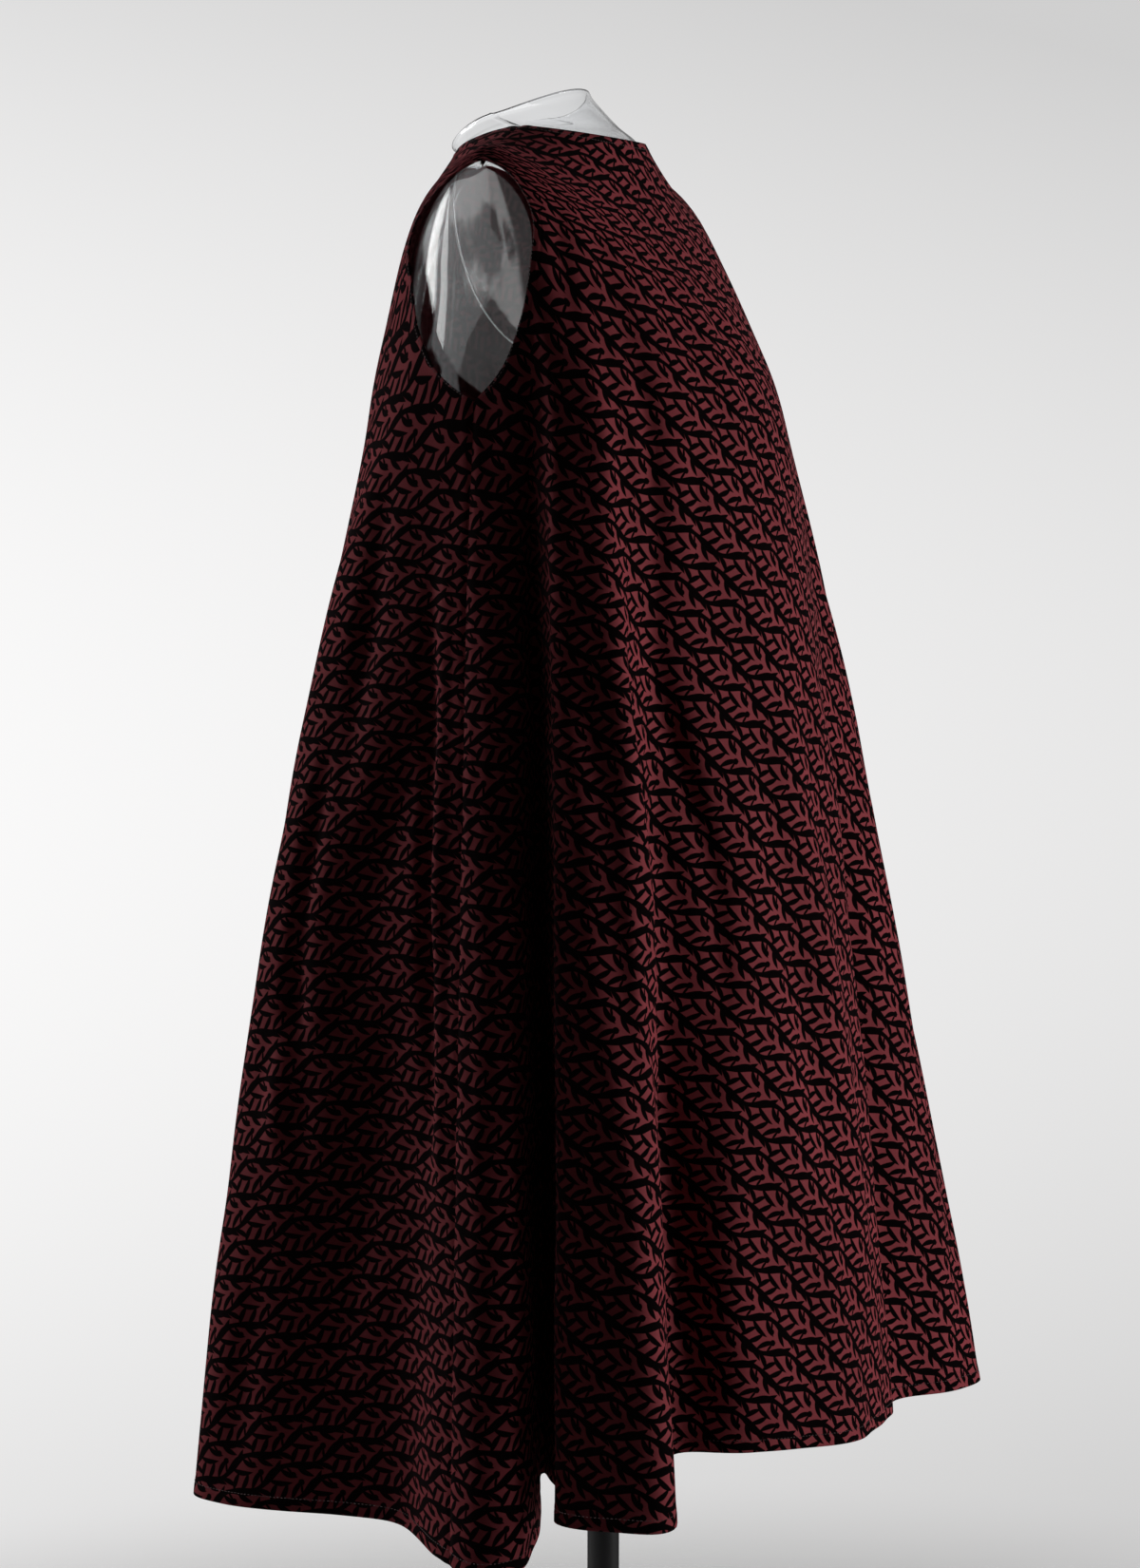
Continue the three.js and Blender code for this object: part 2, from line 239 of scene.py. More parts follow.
def cloth_point(place, ring_place):
    """A point on the cloth's outside. ring_place passes the last ring by 0 to 1 down to the hem."""
    angle = ring_angle(place)
    point = ring_point(RINGS, angle, np.minimum(ring_place, LAST_RING))
    hang = np.clip(ring_place - LAST_RING, 0, 1)
    lift = round_value(FOLD_LIFT, place)
    point[..., 2] += (lift - point[..., 2]) * hang
    body = ring_point(RINGS, angle, np.full_like(ring_place, LAST_RING))
    start = round_value(FOLD_START, place, rising_curve)
    linear = fold_growth((start - point[..., 2]) / (start - lift))
    growth = linear + round_value(FOLD_BOW, place) * linear * (1 - np.minimum(linear, 1))
    point[..., 0] += growth * (round_value(FOLD_HEM_X, place) - body[..., 0])
    point[..., 1] += growth * (round_value(FOLD_HEM_Y, place) - body[..., 1])
    return point


# The cut cloth

CUT_COLUMNS = 401
CUT_ROWS = 141
CUT_SMOOTHING = 5


def smoothed(values, reach):
    """Values evened out down the rows, by a window that is cut off at the ends."""
    rows = np.arange(len(values))
    weights = np.exp(-(((rows[:, None] - rows[None, :]) / reach) ** 2))
    weights /= weights.sum(1, keepdims=True)
    return weights @ values


class Cut:
    """The flat cut of a panel, with x across from its centre line and y down from the neckline.

    The cloth is laid flat from the centre line outwards, and each row turns as the folds fan out.
    """

    def __init__(self, from_angle, to_angle):
        self.first = fold_place(from_angle)
        self.last = fold_place(to_angle)
        places = np.linspace(self.first, self.last, CUT_COLUMNS)
        downs = np.linspace(0, LAST_RING + 1, CUT_ROWS)
        points = cloth_point(*np.broadcast_arrays(places[None, :], downs[:, None]))
        across = np.linalg.norm(np.diff(points, axis=1), axis=2)
        down = np.linalg.norm(np.diff(points, axis=0), axis=2)
        along = np.pad(np.cumsum(across, 1), ((0, 0), (1, 0)))
        middle = int(np.argmin(np.abs(places - fold_place((from_angle + to_angle) / 2))))
        along -= along[:, middle : middle + 1]
        fallen = np.pad(np.cumsum(down, 0), ((1, 0), (0, 0)))
        turn = np.gradient(along, axis=0) / np.gradient(fallen, axis=0)
        turn = smoothed(np.clip(turn, -1, 1), CUT_SMOOTHING)
        half_turn = (turn[:, 1:] + turn[:, :-1]) / 2
        flat_x = np.pad(np.cumsum(across * np.cos(half_turn), 1), ((0, 0), (1, 0)))
        flat_y = np.pad(np.cumsum(across * np.sin(half_turn), 1), ((0, 0), (1, 0)))
        self.x = flat_x - flat_x[:, middle : middle + 1]
        self.y = fallen[:, middle : middle + 1] - flat_y + flat_y[:, middle : middle + 1]

    def at(self, place, ring_place):
        """The flat x and y of points on the panel."""
        column = (place - self.first) / (self.last - self.first) * (CUT_COLUMNS - 1)
        row = ring_place / (LAST_RING + 1) * (CUT_ROWS - 1)
        c = np.clip(column.astype(int), 0, CUT_COLUMNS - 2)
        r = np.clip(row.astype(int), 0, CUT_ROWS - 2)
        a = column - c
        b = row - r

        def between(grid):
            upper = grid[r, c] * (1 - a) + grid[r, c + 1] * a
            lower = grid[r + 1, c] * (1 - a) + grid[r + 1, c + 1] * a
            return upper * (1 - b) + lower * b

        return between(self.x), between(self.y)


# Rows and columns of a panel's grid, closer together at the hem and at the side edges
SHOULDER_ROWS = 16
ROWS_PER_ARMHOLE_STEP = 6
SIDE_ROWS = 34
SKIRT_ROWS = 80
HEM_ROWS = (0.97, 0.976, 0.98, 0.983, 0.9855, 0.988, 0.991, 0.9945, 0.998, 1.0)
EDGE_COLUMNS = (0, 0.0012, 0.0026, 0.0044, 0.0068)
EVEN_COLUMNS_START = 0.0105
PANEL_COLUMNS = 236


def panel_rows(edge_column):
    """Each row's place on the rings, and how far the armhole has taken its ends in."""
    shoulder = np.linspace(0, SHOULDER_TIP, SHOULDER_ROWS, endpoint=False)
    steps = (len(ARMHOLE) - 1) * ROWS_PER_ARMHOLE_STEP
    armhole = open_value(ARMHOLE, np.arange(steps) / ROWS_PER_ARMHOLE_STEP)
    side = np.linspace(UNDERARM, LAST_RING, SIDE_ROWS, endpoint=False)
    skirt = LAST_RING + np.linspace(0, HEM_ROWS[0], SKIRT_ROWS, endpoint=False)
    hem = LAST_RING + np.array(HEM_ROWS)
    ring_places = np.concatenate([shoulder, armhole[:, 0], side, skirt, hem])
    edges = np.zeros_like(ring_places)
    edges[SHOULDER_ROWS : SHOULDER_ROWS + steps] = armhole[:, edge_column]
    return ring_places, edges


def panel_parts():
    """The columns' parts of the way across a panel, closer together at its ends."""
    ends = np.array(EDGE_COLUMNS)
    middle = np.linspace(EVEN_COLUMNS_START, 1 - EVEN_COLUMNS_START,
                         PANEL_COLUMNS - 2 * len(ends))
    return np.concatenate([ends, middle, 1 - ends[::-1]])


# Creases on the flat cuts: start across and down, end across and down, sideways bow, width, lift
BACK_CREASES = (
    (-128, 90, -165, 430, -6, 9, -4.5),
    (-164, 400, -126, 600, 4, 10, -7.0),
    (-190, 660, -176, 990, 8, 13, -8.0),
    (-98, 240, -114, 372, 3, 8, -3.0),
    (-140, 560, -139, 690, -5, 9, -4.0),
    (-86, 380, -6, 1010, 14, 15, -5.0),
    (-48, 420, 34, 960, 10, 20, 6.5),
    (44, 400, 96, 1018, -26, 23, -15.0),
    (-252, 380, -298, 650, -6, 13, -3.5),
    (-276, 540, -322, 880, 5, 14, -5.5),
    (-226, 400, -248, 760, 4, 13, 7.0),
    (-203, 380, -222, 740, 4, 11, -8.0),
    (-214, 480, -164, 572, 4, 8, -3.5),
    (-410, 560, -462, 900, 8, 15, -5.0),
    (-150, 66, -176, 190, 4, 9, -2.0),
    (-14, 120, -26, 400, 5, 14, -3.5),
    (232, 260, 266, 650, -8, 13, -6.0),
    (304, 400, 338, 830, 9, 15, -7.5),
    (426, 330, 462, 720, -6, 13, -5.5),
    (130, 220, 152, 540, 6, 11, -4.0),
    (176, 520, 206, 980, -8, 16, -7.0),
    (500, 520, 560, 900, 6, 15, -6.0),
)
FRONT_CREASES = (
    (188, 215, 276, 480, -6, 11, -6.0),
    (238, 400, 304, 650, 3, 9, -7.0),
    (276, 585, 316, 662, -4, 9, -4.5),
    (296, 640, 322, 738, 5, 10, 5.0),
    (320, 656, 354, 760, 3, 9, -4.0),
    (256, 250, 452, 700, -6, 9, -10.0),
    (268, 262, 476, 716, -6, 10, 5.0),
    (302, 320, 348, 640, 5, 16, -4.5),
    (362, 560, 420, 950, -7, 18, -6.0),
    (330, 780, 352, 990, 4, 14, -4.5),
    (152, 340, 182, 780, -6, 14, -5.5),
    (60, 470, 78, 920, 8, 17, -6.0),
    (-38, 260, -50, 640, -5, 13, -3.5),
    (-150, 480, -164, 920, 6, 15, -5.5),
    (-252, 280, -296, 660, -6, 13, -6.5),
    (-334, 400, -380, 880, 8, 16, -7.5),
    (-440, 430, -486, 820, -6, 13, -5.0),
    (-206, 200, -238, 420, 4, 10, -3.5),
)
# A crease has a wider and lower swell beside it, and runs out at its ends
SWELL_LIFT = 0.35
SWELL_WIDTH = 2.6
RUN_OUT_POWER = 0.7


def bump(distance, width):
    """A soft ridge's profile, 1 at its middle."""
    return np.exp(-((distance / width) ** 2))


def crease_height(x, y, creases):
    """Soft ridges and troughs that run out at both ends."""
    height = np.zeros_like(x)
    for from_x, from_y, to_x, to_y, bow, width, lift in creases:
        length = math.hypot(to_x - from_x, to_y - from_y)
        way_x = (to_x - from_x) / length
        way_y = (to_y - from_y) / length
        part = ((x - from_x) * way_x + (y - from_y) * way_y) / length
        part_in = np.clip(part, 0, 1)
        aside = (y - from_y) * way_x - (x - from_x) * way_y - bow * 4 * part_in * (1 - part_in)
        run_out = np.sin(np.pi * part_in) ** RUN_OUT_POWER
        swell = SWELL_LIFT * bump(aside, SWELL_WIDTH * width)
        height += lift * run_out * (bump(aside, width) - swell)
    return height


# How far the pattern's branches lean on the flat cut, in degrees
FRONT_SLANT = 36.0
BACK_SLANT = -27.0

# Slack of the cloth: waves across and down per metre, phase, height in millimetres
SLACK = (
    (9.0, 1.6, 0.4, 0.9),
    (-14.0, 2.2, 2.1, 0.6),
    (21.0, 3.1, 4.4, 0.35),
    (6.0, -4.4, 1.2, 0.5),
)


def slack_height(x, y):
    """Low waves all over the cloth."""
    total = np.zeros_like(x)
    for across, down, phase, height in SLACK:
        total += height * np.sin(2 * math.pi * (across * x + down * y) * MM + phase)
    return total


# Turned edges: width of the turn and distance of its stitches, at the hem and at the other edges
HEM_TURN = 11.0
HEM_STITCH = 9.0
EDGE_TURN = 8.0
EDGE_STITCH = 6.5
EDGE_STITCH_COLUMN = 4
TURN_RISE = 0.45
TURN_SOFTNESS = 0.5
STITCH_PULL = 0.4
STITCH_GROOVE = 1.0
# Side and shoulder seams: their groove, and the low ridge of the seam allowance beside it
SEAM_DEPTH = 0.9
SEAM_WIDTH = 2.6
ALLOWANCE_RISE = 0.35
ALLOWANCE_INSET = 7.0
ALLOWANCE_WIDTH = 3.5
# Where the cloth is drawn smooth: under the neckline, and next to its side edges
CALM_DEPTH = 90.0
CALM_FADE = 160.0
CALM_POWER = 1.5
CALM_SIDE = 14.0
CALM_SIDE_LEAST = 0.15


def turned_edge(distance, turn, stitch):
    """The raised double layer of a turned edge, with the groove that its stitches pull."""
    step = np.clip((distance - turn) / TURN_SOFTNESS, -40, 40)
    return TURN_RISE / (1 + np.exp(step)) - STITCH_PULL * bump(distance - stitch, STITCH_GROOVE)


def row_length(points):
    """Lengths along the rows from the first column."""
    steps = np.linalg.norm(np.diff(points, axis=1), axis=2)
    return np.pad(np.cumsum(steps, 1), ((0, 0), (1, 0)))


def column_length(points):
    """Lengths down the columns from the first row."""
    return row_length(points.swapaxes(0, 1)).swapaxes(0, 1)


def surface_normals(points):
    """Unit vectors that point out of a grid of points."""
    across = np.gradient(points, axis=1)
    down = np.gradient(points, axis=0)
    normals = np.cross(down, across)
    return normals / np.maximum(np.linalg.norm(normals, axis=2, keepdims=True), 1e-9)


class Panel(NamedTuple):
    """A panel: its angles on the rings, its column in ARMHOLE, its look and its flat size in metres."""

    name: str
    node: str
    from_angle: float
    to_angle: float
    armhole_column: int
    slant: float
    creases: tuple
    flat: tuple
    area: float


PANELS = (
    Panel("dress_front", "dress_front_panel", -180.0, 0.0, 1, FRONT_SLANT, FRONT_CREASES,
          (1.108, 1.095), 0.781),
    Panel("dress_back", "dress_back_panel", 0.0, 180.0, 2, BACK_SLANT, BACK_CREASES,
          (1.464, 1.074), 0.924),
)


def panel_surface(panel):
    """Points of a panel's outside in millimetres, and their places on its flat cut."""
    cut = Cut(panel.from_angle, panel.to_angle)
    ring_places, edges = panel_rows(panel.armhole_column)
    first = fold_place(panel.from_angle + edges)[:, None]
    last = fold_place(panel.to_angle - edges)[:, None]
    place = first + (last - first) * panel_parts()[None, :]
    ring_place = np.broadcast_to(ring_places[:, None], place.shape).copy()
    points = cloth_point(place, ring_place)
    flat_x, flat_y = cut.at(place, ring_place)

    along = row_length(points)
    to_side = np.minimum(along, along[:, -1:] - along)
    from_neck = column_length(points)
    to_hem = from_neck[-1:] - from_neck
    in_armhole = (edges > 0)[:, None]
    calm_top = np.clip((from_neck - CALM_DEPTH) / CALM_FADE, 0, 1) ** CALM_POWER
    height = calm_top * slack_height(flat_x, flat_y) + crease_height(flat_x, flat_y, panel.creases)
    height *= np.clip(to_side / CALM_SIDE, CALM_SIDE_LEAST, 1)
    height += turned_edge(to_hem, HEM_TURN, HEM_STITCH)
    height += turned_edge(from_neck, EDGE_TURN, EDGE_STITCH)
    height += np.where(in_armhole, turned_edge(to_side, EDGE_TURN, EDGE_STITCH), 0)
    allowance = ALLOWANCE_RISE * bump(to_side - ALLOWANCE_INSET, ALLOWANCE_WIDTH)
    height += np.where(in_armhole, 0, allowance - SEAM_DEPTH * bump(to_side, SEAM_WIDTH))
    points = points + surface_normals(points) * height[..., None]
    points[..., 2] += HEM_HEIGHT
    return points, np.stack([flat_x, flat_y], -1)


def new_object(name, bm, materials, replaced=()):
    """Make a piece of a mesh, riding on the one body, with its finish and the nodes it stands for."""
    mesh = bpy.data.meshes.new(name)
    bm.to_mesh(mesh)
    bm.free()
    for material in materials:
        mesh.materials.append(material)
    mesh.shade_smooth()
    piece = bpy.data.objects.new(name, mesh)
    bpy.context.scene.collection.objects.link(piece)
    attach(piece, "root")
    if replaced:
        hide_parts(*replaced)
    return piece


def lay_grid(bm, points, flat=None, closed=False):
    """Add a grid laid on rows and columns of points in millimetres, with the flat cut as its UV map."""
    rows, columns = points.shape[:2]
    made = bmesh.ops.create_grid(bm, x_segments=columns - 1, y_segments=rows - 1, size=1.0)
    place_of = {}
    for vertex in made["verts"]:
        column = round((vertex.co.x + 1) / 2 * (columns - 1))
        row = rows - 1 - round((vertex.co.y + 1) / 2 * (rows - 1))
        vertex.co = Vector(points[row, column]) * MM
        place_of[vertex] = (row, column)
    if flat is not None:
        layer = bm.loops.layers.uv.new("cut")
        for face in bm.faces:
            for loop in face.loops:
                loop[layer].uv = flat[place_of[loop.vert]] * MM
    if closed:
        bmesh.ops.remove_doubles(bm, verts=bm.verts, dist=1e-6)


# Shader nodes


def group_of(name, inputs, outputs):
    """A new shader node group with its input and output nodes."""
    group = bpy.data.node_groups.new(name, "ShaderNodeTree")
    for label, kind in inputs:
        group.interface.new_socket(name=label, in_out="INPUT", socket_type="NodeSocket" + kind)
    for label, kind in outputs:
        group.interface.new_socket(name=label, in_out="OUTPUT", socket_type="NodeSocket" + kind)
    return group, group.nodes.new("NodeGroupInput"), group.nodes.new("NodeGroupOutput")


class Nodes:
    """Short ways to add and link nodes in one tree."""

    def __init__(self, tree):
        self.tree = tree

    def put(self, socket, value):
        """Link a socket to the value, or set it."""
        if isinstance(value, bpy.types.NodeSocket):
            self.tree.links.new(value, socket)
        else:
            socket.default_value = value

    def node(self, kind, values=(), **settings):
        """A new node with values for its inputs."""
        made = self.tree.nodes.new("ShaderNode" + kind)
        for key, value in settings.items():
            setattr(made, key, value)
        for key, value in dict(values).items():
            self.put(made.inputs[key], value)
        return made

    def math(self, operation, *values, clamp=False):
        made = self.node("Math", enumerate(values), operation=operation, use_clamp=clamp)
        return made.outputs[0]

    def vector(self, operation, *values):
        made = self.node("VectorMath", enumerate(values), operation=operation)
        return made.outputs[1] if operation in {"LENGTH", "DISTANCE", "DOT_PRODUCT"} else made.outputs[0]

    def noise(self, vector, scale, detail=2.0, roughness=0.5):
        values = {"Vector": vector, "Scale": scale, "Detail": detail, "Roughness": roughness}
        return self.node("TexNoise", values).outputs[0]

    def ramp(self, value, low, high, to_low=0.0, to_high=1.0):
        """A soft step from one value to another."""
        values = {0: value, 1: low, 2: high, 3: to_low, 4: to_high}
        return self.node("MapRange", values, interpolation_type="SMOOTHSTEP").outputs[0]

    def mix(self, part, first, second):
        made = self.node("Mix", data_type="RGBA")
        self.put(made.inputs[0], part)
        self.put(made.inputs[6], first)
        self.put(made.inputs[7], second)
        return made.outputs[2]

    def bump(self, height, distance, strength=1.0):
        values = {"Height": height, "Distance": distance, "Strength": strength}
        return self.node("Bump", values).outputs[0]


# The flock's own design: a branch that waves along a slant, with leaves and berries.
# Millimetres on the flat cut.
BRANCH_REPEAT = 53.0
BRANCH_SPACING = 19.0
BRANCH_WAVE = 3.9
STEM_HALF_WIDTH = 2.45
STEM_SWELL = 0.7
STEM_SWELL_START = 0.6
LEAF_HALF_WIDTH = 2.05
STALK_HALF_WIDTH = 1.0
BERRY_RADIUS = 2.4
FLOCK_EDGE = 0.22
REVERSE_STRENGTH = 0.45
# The ground's weave, clouds and grain: their size, and how much each changes the shade
WEAVE_PITCH = 0.9
CLOUD_SCALE = 9.0
GRAIN_SCALE = 900.0
BASE_SHADE = 0.5
WEAVE_SHADE = 0.12
CLOUD_SHADE = 0.5
GRAIN_SHADE = 0.2
# Leaves: where they leave the branch, angle, length, bend
LEAVES = (
    (2.2, 31, 17.5, -0.017),
    (0.6, -41, 16.5, 0.016),
    (-15.2, 47, 16.0, 0.024),
    (10.2, -36, 19.5, -0.02),
    (-2.3, 52, 16.5, 0.017),
    (-25.0, -33, 16.0, 0.016),
    (13.5, 44, 15.5, -0.021),
    (-5.2, -46, 15.5, -0.017),
    (25.8, 29, 20.0, 0.019),
)
# Berries: where their stalk leaves the branch, angle, stalk length
BERRIES = (
    (-10.0, 72, 9.1),
    (19.8, -71, 10.0),
)


def flock_group():
    """The mask of the flocked branches on the flat cut: 1 on the flock and 0 on the ground."""
    inputs = [("Cut", "Vector"), ("Slant", "Float")]
    group, entry, leave = group_of("flock_branches", inputs, [("Flock", "Float")])
    n = Nodes(group)
    wave = 2 * math.pi / BRANCH_REPEAT
    turned = n.node("VectorRotate", {"Vector": entry.outputs[0], "Angle": entry.outputs[1]},
                    rotation_type="Z_AXIS")
    in_mm = n.vector("MULTIPLY", turned.outputs[0], (1 / MM, 1 / MM, 1 / MM))
    split = n.node("SeparateXYZ", {0: in_mm})
    x, y = split.outputs[0], split.outputs[1]

    def cell(center_x, center_y):
        """Distances from the nearest repeat of a place, in millimetres."""
        down = n.math("MULTIPLY_ADD", y, 1 / BRANCH_SPACING, -center_y / BRANCH_SPACING)
        row = n.math("ROUND", down)
        across = n.math("MULTIPLY_ADD", x, 1 / BRANCH_REPEAT, -center_x / BRANCH_REPEAT)
        across = n.math("MULTIPLY_ADD", row, 0.5, across)
        return n.math("SUBTRACT", across, n.math("ROUND", across)), n.math("SUBTRACT", down, row)

    across, down = cell(0.0, 0.0)
    turn = n.math("MULTIPLY", across, 2 * math.pi)
    sway = n.math("SINE", turn)
    lean = n.math("COSINE", turn)
    slope = n.math("MULTIPLY", lean, BRANCH_WAVE * wave)
    stretch = n.math("SQRT", n.math("MULTIPLY_ADD", slope, slope, 1.0))
    off = n.math("ABSOLUTE", n.math("MULTIPLY_ADD", sway, -BRANCH_WAVE,
                                    n.math("MULTIPLY", down, BRANCH_SPACING)))
    swell = n.math("SINE", n.math("MULTIPLY_ADD", turn, 2.0, STEM_SWELL_START))
    near = n.math("SUBTRACT", n.math("DIVIDE", off, stretch),
                  n.math("MULTIPLY_ADD", swell, STEM_SWELL, STEM_HALF_WIDTH))

    def beside_branch(base, turn, length):
        """Distances from the point at this length and turn from a place on the branch."""
        return cell(base + math.cos(turn) * length,
                    BRANCH_WAVE * math.sin(wave * base) + math.sin(turn) * length)

    def with_leaf(near, base, angle, length, half_width, bend):
        """The nearest edge so far, or the edge of a leaf made of two arcs."""
        turn = math.radians(angle)
        half = length / 2
        across, down = beside_branch(base, turn, half)
        along = n.math("MULTIPLY_ADD", across, BRANCH_REPEAT * math.cos(turn),
                       n.math("MULTIPLY", down, BRANCH_SPACING * math.sin(turn)))
        aside = n.math("MULTIPLY_ADD", across, -BRANCH_REPEAT * math.sin(turn),
                       n.math("MULTIPLY", down, BRANCH_SPACING * math.cos(turn)))
        square = n.math("MULTIPLY", along, along)
        aside = n.math("MULTIPLY_ADD", square, bend, n.math("SUBTRACT", aside, bend * half * half))
        radius = (half * half + half_width * half_width) / (2 * half_width)
        aside = n.math("ADD", n.math("ABSOLUTE", aside), radius - half_width)
        far = n.math("SQRT", n.math("MULTIPLY_ADD", aside, aside, square))
        return n.math("MINIMUM", near, n.math("SUBTRACT", far, radius))

    for base, angle, length, bend in LEAVES:
        near = with_leaf(near, base, angle, length, LEAF_HALF_WIDTH, bend)
    for base, angle, length in BERRIES:
        near = with_leaf(near, base, angle, length, STALK_HALF_WIDTH, 0.0)
        across, down = beside_branch(base, math.radians(angle), length)
        across = n.math("MULTIPLY", across, BRANCH_REPEAT)
        down = n.math("MULTIPLY", down, BRANCH_SPACING)
        far = n.math("SQRT", n.math("MULTIPLY_ADD", across, across, n.math("MULTIPLY", down, down)))
        near = n.math("MINIMUM", near, n.math("SUBTRACT", far, BERRY_RADIUS))
    group.links.new(n.ramp(near, FLOCK_EDGE, -FLOCK_EDGE), leave.inputs[0])
    return group


def weave_group():
    """A fine plain weave on the flat cut, from 0 to 1."""
    group, entry, leave = group_of("fine_weave", [("Cut", "Vector"), ("Pitch", "Float")],
                                   [("Height", "Float")])
    n = Nodes(group)
    split = n.node("SeparateXYZ", {0: entry.outputs[0]})
    rate = n.math("DIVIDE", 2 * math.pi, entry.outputs[1])
    warp = n.math("SINE", n.math("MULTIPLY", split.outputs[0], rate))
    weft = n.math("SINE", n.math("MULTIPLY", split.outputs[1], rate))
    crossed = n.math("MULTIPLY", warp, weft)
    group.links.new(n.math("MULTIPLY_ADD", crossed, 0.5, 0.5), leave.inputs[0])
    return group


def new_material(name):
    """A material with its tree, its Principled shader and a way to add nodes."""
    material = bpy.data.materials.new(name)
    material.use_nodes = True
    shader = material.node_tree.nodes["Principled BSDF"]
    return material, shader, Nodes(material.node_tree)


def with_group(n, group, values):
    """The first output of a group placed in a material with its own values."""
    made = n.tree.nodes.new("ShaderNodeGroup")
    made.node_tree = group
    for key, value in values.items():
        n.put(made.inputs[key], value)
    return made.outputs[0]


def cloth_material(name, slant, values, strength, groups):
    """Thin woven cloth with the flocked pattern, which shows through more weakly on its reverse."""
    material, shader, n = new_material(name)
    cut = n.node("UVMap", uv_map="cut").outputs[0]
    on_flock = with_group(n, groups["flock"], {"Cut": cut, "Slant": math.radians(slant)})
    on_flock = n.math("MULTIPLY", on_flock, strength)
    weave = with_group(n, groups["weave"], {"Cut": cut, "Pitch": WEAVE_PITCH * MM})
    cloud = n.noise(cut, CLOUD_SCALE, 3.0)
    grain = n.noise(cut, GRAIN_SCALE, 1.0)
    shade = n.math("MULTIPLY_ADD", weave, WEAVE_SHADE, BASE_SHADE)
    shade = n.math("MULTIPLY_ADD", cloud, CLOUD_SHADE, shade)
    shade = n.math("MULTIPLY_ADD", grain, GRAIN_SHADE, shade)
    ground = n.node("HueSaturation", {"Color": tuple(values.ground), "Value": shade}).outputs[0]
    n.put(shader.inputs["Base Color"], n.mix(on_flock, ground, tuple(values.flock)))
    n.put(shader.inputs["Roughness"], n.ramp(on_flock, 0.0, 1.0, 0.6, 0.95))
    shader.inputs["Specular IOR Level"].default_value = 0.02
    height = n.math("MULTIPLY_ADD", weave, 0.25, n.math("MULTIPLY", grain, 0.2))
    n.put(shader.inputs["Normal"], n.bump(height, 0.00012, 0.6))
    return material


def thread_material(color):
    """Twisted sewing thread."""
    material, shader, n = new_material("sewing_thread")
    place = n.node("TexCoord").outputs["Object"]
    twist = n.noise(place, 1600.0, 2.0)
    shade = n.ramp(twist, 0.2, 0.8, 0.6, 1.2)
    n.put(shader.inputs["Base Color"],
          n.node("HueSaturation", {"Color": color, "Value": shade}).outputs[0])
    shader.inputs["Roughness"].default_value = 0.6
    n.put(shader.inputs["Normal"], n.bump(twist, 0.0001, 0.5))
    return material


def plastic_material(color):
    """Clear moulded plastic with faint waves and a few fine rub marks."""
    material, shader, n = new_material("clear_plastic")
    place = n.node("TexCoord").outputs["Object"]
    wave = n.noise(place, 14.0, 2.0)
    rubbed = n.ramp(n.noise(place, 60.0, 6.0, 0.7), 0.55, 0.8)
    n.put(shader.inputs["Roughness"], n.math("MULTIPLY_ADD", rubbed, 0.12, 0.03))
    shader.inputs["Base Color"].default_value = color
    shader.inputs["Metallic"].default_value = 0.0
    shader.inputs["Transmission Weight"].default_value = 1.0
    shader.inputs["IOR"].default_value = 1.45
    n.put(shader.inputs["Normal"], n.bump(wave, 0.002, 0.35))
    return material


def metal_material(color):
    """Satin black paint over steel, with a light orange peel and a little dust."""
    material, shader, n = new_material("black_metal")
    place = n.node("TexCoord").outputs["Object"]
    peel = n.noise(place, 420.0, 2.0)
    dust = n.ramp(n.noise(place, 35.0, 8.0, 0.75), 0.5, 0.85)
    n.put(shader.inputs["Base Color"], n.mix(n.math("MULTIPLY", dust, 0.12), color,
                                              (0.12, 0.115, 0.11, 1)))
    n.put(shader.inputs["Roughness"], n.math("MULTIPLY_ADD", dust, 0.25, 0.46))
    shader.inputs["Specular IOR Level"].default_value = 0.3
    n.put(shader.inputs["Normal"], n.bump(peel, 0.0002, 0.25))
    return material


# Settings that a user would change


def color_property(name, description, default):
    return bpy.props.FloatVectorProperty(name=name, description=description, default=default,
                                         subtype="COLOR", size=4, min=0.0, max=1.0)


class DressSettings(bpy.types.PropertyGroup):
    """The dress's sizes and colours."""

    cloth_thickness: bpy.props.FloatProperty(
        name="Cloth thickness", description="Thickness of the flocked cloth",
        default=0.9 * MM, min=0.2 * MM, max=3 * MM, unit="LENGTH")
    stitch_pitch: bpy.props.FloatProperty(
        name="Stitch pitch", description="From one stitch to the next",
        default=3.0 * MM, min=1.5 * MM, max=8 * MM, unit="LENGTH")
    ground: color_property("Ground", "Colour of the cloth under the flock", (0.275, 0.052, 0.062, 1))
    flock: color_property("Flock", "Colour of the flocked branches", (0.0025, 0.0012, 0.0014, 1))
    thread: color_property("Thread", "Colour of the sewing thread", (0.03, 0.008, 0.01, 1))


class FormSettings(bpy.types.PropertyGroup):
    """The clear form's sizes and colour."""

    wall: bpy.props.FloatProperty(
        name="Wall", description="Thickness of the clear shell",
        default=2.4 * MM, min=1 * MM, max=6 * MM, unit="LENGTH")
    tint: color_property("Tint", "Colour of the clear plastic", (0.93, 0.94, 0.95, 1))


class StandSettings(bpy.types.PropertyGroup):
    """The stand's colour."""

    paint: color_property("Paint", "Colour of the stand's satin paint", (0.006, 0.006, 0.0065, 1))


class StageSettings(bpy.types.PropertyGroup):
    """The studio's lights and floor."""

    key_power: bpy.props.FloatProperty(
        name="Key power", description="Power of the large soft light at the right",
        default=48.0, min=0.0, max=2000.0, unit="POWER")
    rim_power: bpy.props.FloatProperty(
        name="Rim power", description="Power of the soft light at the left",
        default=23.0, min=0.0, max=2000.0, unit="POWER")
    floor: color_property("Floor", "Colour of the plain floor", (0.72, 0.72, 0.72, 1))


def settings():
    """The settings of the dress on its form in this scene."""
    return bpy.context.scene.flared_dress


